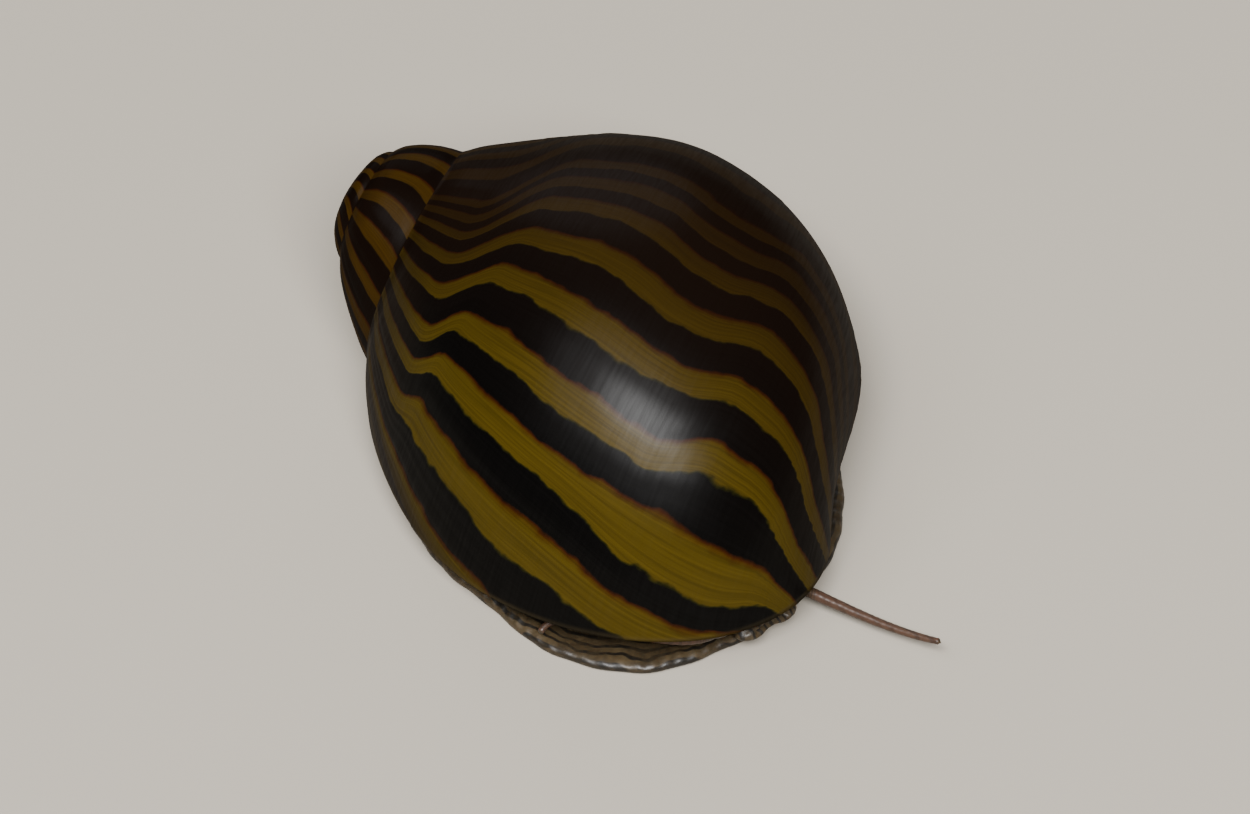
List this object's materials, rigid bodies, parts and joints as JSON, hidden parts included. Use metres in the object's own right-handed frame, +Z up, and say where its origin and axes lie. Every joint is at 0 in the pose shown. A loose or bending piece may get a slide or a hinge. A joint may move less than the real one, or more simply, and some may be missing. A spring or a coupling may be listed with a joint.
{
  "type": "nerite snail model",
  "caption": "Life-size still model of a zebra nerite snail crawling: a half-round black and gold striped shell over a low foot, with its head and feelers out in front.",
  "frame": {"origin": "under the middle of the whole animal, on the floor that the sole rests on", "axes": "+Z up, square to the flat sole; -Y the way the snail crawls, so its head and feelers are at -Y and the shell's apex at +Y; +X the animal's left"},
  "size_m": [0.0208, 0.0302, 0.0134],
  "materials": {
    "shell": "smooth, semi-gloss shell, black with wavy olive-gold stripes and a brown wash beside the seam",
    "flesh": "moist grey-brown skin with fine dark lines",
    "operculum": "smooth horny lid, brown with a paler edge",
    "eye": "wet black"
  },
  "bodies": {
    "root": {"shell": "shell", "mantle": "flesh", "foot": "flesh", "operculum": "operculum", "head": "flesh", "tentacle_left_base": "flesh", "tentacle_left_tip": "flesh", "tentacle_right_base": "flesh", "tentacle_right_tip": "flesh", "eye_stalk_left": "flesh", "eye_stalk_right": "flesh", "eye_left": "eye", "eye_right": "eye"}
  },
  "joints": []
}
